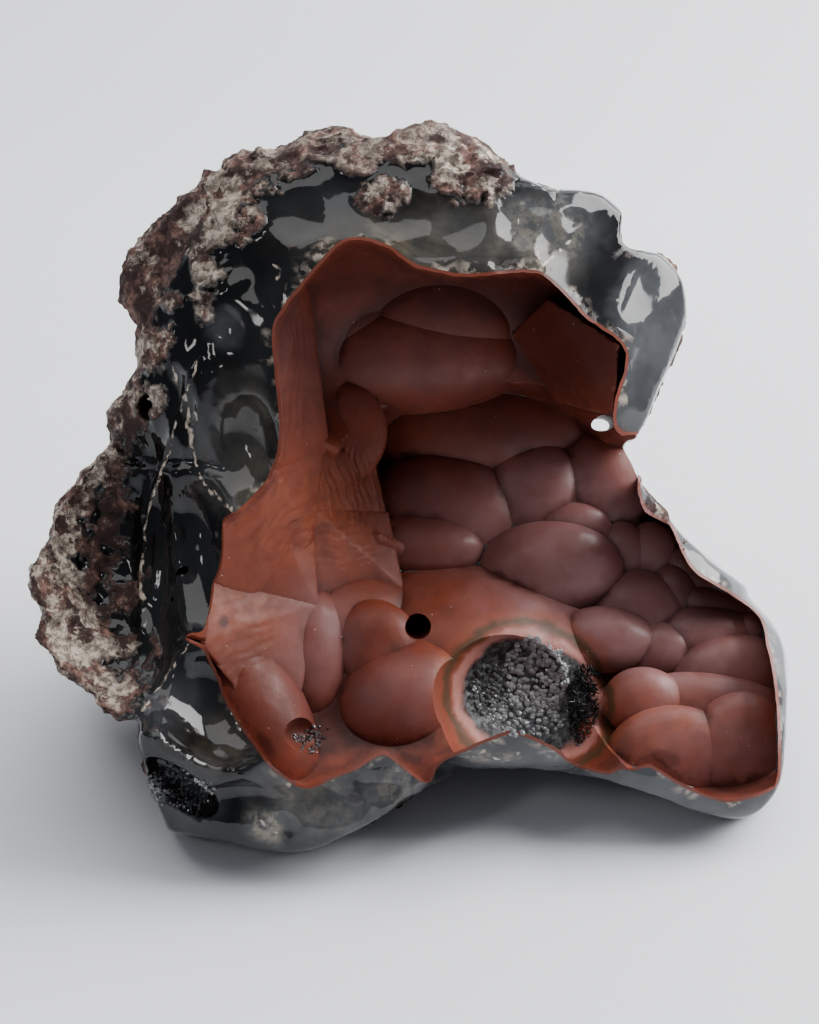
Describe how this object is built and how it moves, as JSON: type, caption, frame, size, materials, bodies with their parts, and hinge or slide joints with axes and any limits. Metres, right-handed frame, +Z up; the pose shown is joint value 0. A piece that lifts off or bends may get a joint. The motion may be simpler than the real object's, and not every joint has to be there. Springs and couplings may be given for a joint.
{
  "type": "agate",
  "caption": "Broken, hollow agate nodule with a red botryoidal lining, a black and grey chalcedony wall and a rough pale rind.",
  "frame": {"origin": "middle of the bounding box's base, on the surface the stone rests on", "axes": "+Z up, +X across the open front from left to right as the viewer sees it, -Y towards the viewer"},
  "size_m": [0.1425, 0.1016, 0.1146],
  "materials": {
    "chalcedony": "glossy red-brown lining, glassy black to grey broken wall, rough cream and maroon rind"
  },
  "bodies": {
    "root": {"agate": "chalcedony"}
  },
  "joints": []
}
